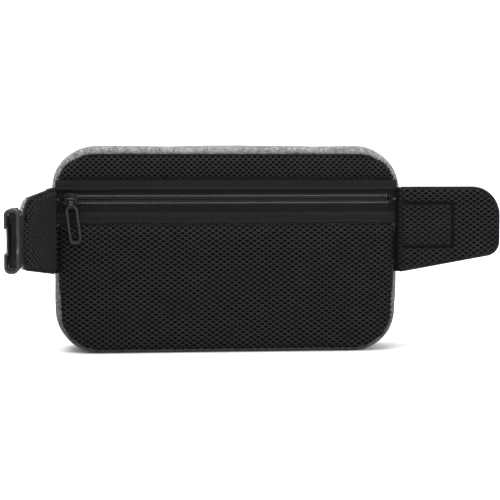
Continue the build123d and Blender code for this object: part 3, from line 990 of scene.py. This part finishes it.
def make_coil(prefix, place, half):
    """Both rows of one zip's coil turns with pale ticks painted on them as highlights; the tape's inner face
    is at y = 0.
    """
    s = sizes()
    count = int((2 * half) / s.tooth_pitch)
    upright = Matrix.Rotation(math.pi / 2, 4, "X")
    for side, word in ((1, "upper"), (-1, "lower")):
        shift = 0.0 if side > 0 else s.tooth_pitch / 2
        lean = Matrix.Rotation(side * 0.16, 4, "Y")
        stand = Matrix.Rotation(side * math.pi / 2, 4, "Y")
        turns, ticks = [], []
        for k in range(count):
            x = -half + shift + s.tooth_pitch * (k + 0.5)
            if x > half - 0.0006:
                continue
            turns.append(place @ Matrix.Translation((x, -0.0019, side * 0.00185)) @ lean)
            ticks.append(place @ Matrix.Translation((x, -0.00275, side * 0.0029)) @ stand @ upright)
        tooth = coil_turn()
        coil = scatter(bmesh.new(), tooth, turns)
        tooth.free()
        # Painted highlights: one pale tick on the outer half of each turn
        stitch = capsule(COIL_HIGHLIGHT_LONG, COIL_HIGHLIGHT_THICK)
        chain = scatter(bmesh.new(), stitch, ticks)
        stitch.free()
        piece(prefix + "_chain_stitches_" + word, chain, [chain_material()], "pouch")
        replaced = (prefix + "_zip_coil_" + word,)
        piece(prefix + "_coil_turns_" + word, coil, [coil_material()], "pouch", replaced)
    lines = []
    for z in (-0.0042, 0.0042):
        a = place @ Vector((-half, -0.0011, z))
        b = place @ Vector((half, -0.0011, z))
        lines.append(([a.lerp(b, k / 40) for k in range(41)], place.to_3x3() @ Vector((0, -1, 0))))
    seam(prefix + "_coil_stitches", lines, "pouch")


# ---------------------------------------------------------------- wings


def wing_frame(side):
    """From a wing's own frame to the row frame at rest."""
    joint = next(j for j in frame["joints"] if j["name"] == side + "_wing_fold")
    x, y, _ = joint["pos_m"]
    place = Matrix.Translation((x, y, 0))
    if side == "left":
        place = place @ Matrix.Rotation(sizes().wing_swing, 4, "Z") @ Matrix.Scale(-1, 4, (1, 0, 0))
    return place


def set_down(obj, place):
    """Move a mesh's points into the row frame, keeping its faces outwards."""
    obj.data.transform(place)
    if place.determinant() < 0:
        obj.data.flip_normals()


def box_lines():
    """Three sides of the sewn box on the right wing; the fourth lies in its root."""
    left, right, low, high = SEWN_BOX
    corners = [(left, low), (right, low), (right, high), (left, high)]
    return [(corners[i], corners[i + 1]) for i in range(3)]


def box_sink(x, z):
    """How far the sewn box pulls the wing's face in."""
    left, right, low, high = SEWN_BOX
    deepest = 0.0
    p = Vector((x, z))
    for a, b in box_lines():
        a, b = Vector(a), Vector(b)
        t = max(0.0, min(1.0, (p - a).dot(b - a) / (b - a).length_squared))
        away = (p - a.lerp(b, t)).length
        deepest = max(deepest, 0.0013 * math.exp(-((away / 0.0024) ** 2)))
    if left + 0.003 < x < right and low < z < high:
        deepest = max(deepest, 0.0006)
    return deepest


def make_hem(side, surface):
    """Dark hem round a wing, rolled over the edge of its spacer mesh."""
    half = sizes().wing_thick / 2
    rows = []
    for inset, lift in HEM_PROFILE:
        row = []
        for p in wing_points(side, inset):
            hit = worn_face(surface, p.x, p.y)
            if hit is None or hit.y > 0:
                hit = surface.find_nearest(Vector((p.x, -half * 0.6, p.y)))[0]
            row.append((p.x, hit.y - lift, p.y))
        rows.append(row)
    return piece(side + "_wing_hem", loft(rows), [mesh_material()], None)


def make_root(side, place):
    """Flap that joins a wing to the side seam, shaped for the wing at rest."""
    half = sizes().wing_thick / 2
    low, high = (corner.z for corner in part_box("right_wing_mesh"))
    sign = -1 if side == "left" else 1
    rings = []
    for z in np.linspace(low + 0.0012, high - 0.0012, ROOT_ROWS):
        ends = min(1.0, 6 * min(z - low, high - z) / (high - low) + 0.35)
        edge = back_edge(z, 0.0004)
        inner = place @ Vector((0.0040, -half * ends + 0.0012, z))
        outer = place @ Vector((0.0050, half * ends - 0.0010, z))
        seam_in = Vector((sign * edge, -0.0284, z))
        seam_out = Vector((sign * (edge + 0.0028), -0.0258, z))
        pull = place @ Vector((-0.0004, -half * ends * 0.30, z))
        push = place @ Vector((0.0006, half * ends * 0.72, z))
        rings.append([tuple(p) for p in (seam_in, pull, inner, outer, push, seam_out)])
    bm = loft(rings, cap=True)
    flap = piece(side + "_wing_root", bm, [heather_material(), underlay_material()], None)
    around = len(rings[0])
    # Painted shade: the flap's worn side, and its hidden end and seam faces, take the dark underlay cloth in
    # place of the shade in the crease between wing and pouch
    for face in flap.data.polygons:
        if face.index % around in (0, 1, 2, 5) or face.index >= around * (ROOT_ROWS - 1):
            face.material_index = 1
    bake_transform(flap)


def sew_box(surface, place):
    """Pressed-in groove of the sewn box on the right wing, and its stitches."""
    lines = []
    groove = bmesh.new()
    for a, b in box_lines():
        points = []
        along = (Vector(b) - Vector(a)).normalized()
        previous = None
        for k in range(25):
            x, z = Vector(a).lerp(Vector(b), k / 24)
            face = worn_face(surface, x, z).y
            points.append(place @ Vector((x, face - 0.0009, z)))
            row = []
            for off, lift in GROOVE_PROFILE:
                spot = (x - along.y * off, face - lift, z + along.x * off)
                row.append(groove.verts.new(place @ Vector(spot)))
            if previous:
                for i in range(len(row) - 1):
                    groove.faces.new((previous[i], previous[i + 1], row[i + 1], row[i]))
            previous = row
        lines.append((points, (0, -1, 0)))
    piece("right_wing_box_groove", groove, [underlay_material()], "right_wing")
    seam("right_wing_box_stitches", lines, "right_wing", mat=underlay_material())


def make_wing(side):
    """Padded wing: heather cover round the foam, spacer mesh on the worn side, hem and root."""
    s = sizes()
    body = side + "_wing"
    right = side == "right"
    place = wing_frame(side)
    bm = slab(wing_points(side, 0.0008), -s.wing_thick / 2 + 0.0016, s.wing_thick - 0.0022)
    cover = piece(body + "_padding", bm, [heather_material(), underlay_material()], None)
    puff(cover, 0.0026, 3.0, 0.0009, lambda co: co.x < 0.004)
    for face in cover.data.polygons:
        if face.normal.y < (0.3 if right else -0.35):
            face.material_index = 1
    cover.data.shade_smooth()
    surface = surface_of(cover)
    region = Region(wing_points(side, 0.0010, -0.0018))
    lattice = net(region, surface, box_sink if right else None, scale=1.0 if right else 1.4)
    mesh = piece(body + "_net", lattice, [mesh_material()], None)
    hem = make_hem(side, surface)
    for obj in (cover, mesh, hem):
        set_down(obj, place)
    make_root(side, place)
    for obj in (cover, mesh, hem):
        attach(obj, body)
    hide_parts(body + "_cover", body + "_foam")
    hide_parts(body + "_mesh")
    if right:
        sew_box(surface, place)


# ---------------------------------------------------------------- carried-over CAD

NODE_LOOKS = {
    "back_piping": twill_material,
    "pocket_divider": lining_material,
    "left_webbing": webbing_material,
    "belt_strap": webbing_material,
    "strap_keeper": webbing_material,
}
WORD_LOOKS = (
    ("zip_tape", tape_material),
    ("stops", metal_material),
    ("slider", metal_material),
    ("pull_tab", metal_material),
    ("pull_loop", rubber_material),
    ("buckle", plastic_material),
    ("latch", plastic_material),
    ("coil", coil_material),
    ("mesh", mesh_material),
    ("foam", underlay_material),
    ("facing", twill_material),
)


def dress_frame():
    """Give every CAD node its material: by its name, else by a word in it, else heather."""
    for name, obj in frame["nodes"].items():
        make = NODE_LOOKS.get(name)
        if make is None:
            make = next((look for word, look in WORD_LOOKS if word in name), heather_material)
        obj.data.materials.clear()
        obj.data.materials.append(make())


# ---------------------------------------------------------------- stage


def aim(obj, target):
    """Turn a lamp or camera towards a point."""
    obj.rotation_euler = (target - obj.location).to_track_quat("-Z", "Y").to_euler()


def make_floor():
    """Pale sweep under and behind the bag."""
    bm = bmesh.new()
    rows = [[bm.verts.new((x, y, z)) for x in (-4, 4)] for y, z in FLOOR_SWEEP]
    for a, b in zip(rows, rows[1:]):
        bm.faces.new((a[0], a[1], b[1], b[0]))
    mesh = bpy.data.meshes.new("studio_floor")
    bm.to_mesh(mesh)
    bm.free()
    floor = bpy.data.objects.new("studio_floor", mesh)
    mesh.materials.append(floor_material())
    mesh.shade_smooth()
    bpy.context.scene.collection.objects.link(floor)


def make_lights():
    """White surroundings and three soft lamps."""
    scene = bpy.context.scene
    world = bpy.data.worlds.new("studio")
    world.use_nodes = True
    background = world.node_tree.nodes["Background"]
    background.inputs["Color"].default_value = (1, 1, 1, 1)
    background.inputs["Strength"].default_value = 0.85
    scene.world = world
    for name, spot, target, size, power in LAMPS:
        lamp = bpy.data.lights.new(name, "AREA")
        lamp.energy = power
        lamp.size = size
        obj = bpy.data.objects.new(name, lamp)
        obj.location = spot
        aim(obj, Vector(target))
        scene.collection.objects.link(obj)


def make_camera():
    """Long lens, a little to the left of the bag and above it."""
    scene = bpy.context.scene
    camera = bpy.data.cameras.new("camera")
    camera.lens = 105
    camera.sensor_width = 36
    eye = bpy.data.objects.new("camera", camera)
    target = Vector(CAMERA_TARGET)
    side, up = math.radians(CAMERA_SIDE), math.radians(CAMERA_RISE)
    away = Vector((math.sin(side) * math.cos(up), -math.cos(side) * math.cos(up), math.sin(up)))
    eye.location = target + CAMERA_FAR * away
    aim(eye, target)
    scene.collection.objects.link(eye)
    scene.camera = eye


def make_stage():
    """Floor, lights, view and camera."""
    make_floor()
    make_lights()
    bpy.context.scene.view_settings.view_transform = "Standard"
    make_camera()


# ---------------------------------------------------------------- operators


class BagOperator:
    """Shared behaviour of the build steps."""

    bl_options = {"REGISTER", "UNDO"}

    def execute(self, context):
        self.build()
        return {"FINISHED"}


class ROPEBAG_OT_pouch(BagOperator, Operator):
    """Build the pouch's gusset and front panel, and the main zip's welts"""

    bl_idname = "ropebag.pouch"
    bl_label = "Pouch"

    def build(self):
        make_gusset()
        make_front()


class ROPEBAG_OT_back(BagOperator, Operator):
    """Build the padded mesh back"""

    bl_idname = "ropebag.back"
    bl_label = "Padded back"

    def build(self):
        make_pad("upper", *UPPER_PAD)
        make_pad("lower", *LOWER_PAD)
        make_facing("upper", *UPPER_FACING)
        make_facing("lower", *LOWER_FACING)


class ROPEBAG_OT_zips(BagOperator, Operator):
    """Build the back zip's tapes, and the coils and stitches of both zips"""

    bl_idname = "ropebag.zips"
    bl_label = "Zips"

    def build(self):
        make_tape("upper", *UPPER_TAPE)
        make_tape("lower", *LOWER_TAPE)
        back = Matrix.Translation((0, BACK_SEAM, BACK_ZIP_HEIGHT))
        make_coil("back", back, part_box("back_zip_coil_upper")[1].x)
        main = Matrix.Translation((0, MAIN_ZIP_DEPTH, MAIN_ZIP_HEIGHT)) @ Matrix.Rotation(math.pi, 4, "Z")
        make_coil("main", main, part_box("main_zip_coil_upper")[1].x)


class ROPEBAG_OT_wings(BagOperator, Operator):
    """Build both padded belt wings"""

    bl_idname = "ropebag.wings"
    bl_label = "Wings"

    def build(self):
        make_wing("left")
        make_wing("right")


class ROPEBAG_OT_frame(BagOperator, Operator):
    """Give the CAD pieces their materials"""

    bl_idname = "ropebag.frame"
    bl_label = "CAD materials"

    def build(self):
        dress_frame()


class ROPEBAG_OT_stage(BagOperator, Operator):
    """Set up the floor, lights and camera"""

    bl_idname = "ropebag.stage"
    bl_label = "Stage"

    def build(self):
        make_stage()


class ROPEBAG_PT_panel(Panel):
    """Sidebar panel of the rope bag"""

    bl_idname = "ROPEBAG_PT_panel"
    bl_label = "Throw Rope Bag"
    bl_space_type = "VIEW_3D"
    bl_region_type = "UI"
    bl_category = "Rope Bag"

    def draw(self, context):
        layout = self.layout
        for group in (context.scene.rope_bag_sizes, context.scene.rope_bag_colours):
            column = layout.column()
            for key in group.__annotations__:
                column.prop(group, key)
        for step in STEPS:
            layout.operator(step.bl_idname)


STEPS = (
    ROPEBAG_OT_frame,
    ROPEBAG_OT_pouch,
    ROPEBAG_OT_back,
    ROPEBAG_OT_zips,
    ROPEBAG_OT_wings,
    ROPEBAG_OT_stage,
)
CLASSES = (RopeBagSizes, RopeBagColours, *STEPS, ROPEBAG_PT_panel)


def register():
    for cls in CLASSES:
        bpy.utils.register_class(cls)
    bpy.types.Scene.rope_bag_sizes = PointerProperty(type=RopeBagSizes)
    bpy.types.Scene.rope_bag_colours = PointerProperty(type=RopeBagColours)


def unregister():
    del bpy.types.Scene.rope_bag_colours
    del bpy.types.Scene.rope_bag_sizes
    for cls in reversed(CLASSES):
        bpy.utils.unregister_class(cls)


def main():
    register()
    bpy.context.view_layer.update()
    bpy.ops.ropebag.frame()
    bpy.ops.ropebag.pouch()
    bpy.ops.ropebag.back()
    bpy.ops.ropebag.zips()
    bpy.ops.ropebag.wings()
    bpy.ops.ropebag.stage()
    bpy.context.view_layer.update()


if __name__ == "__main__":
    main()
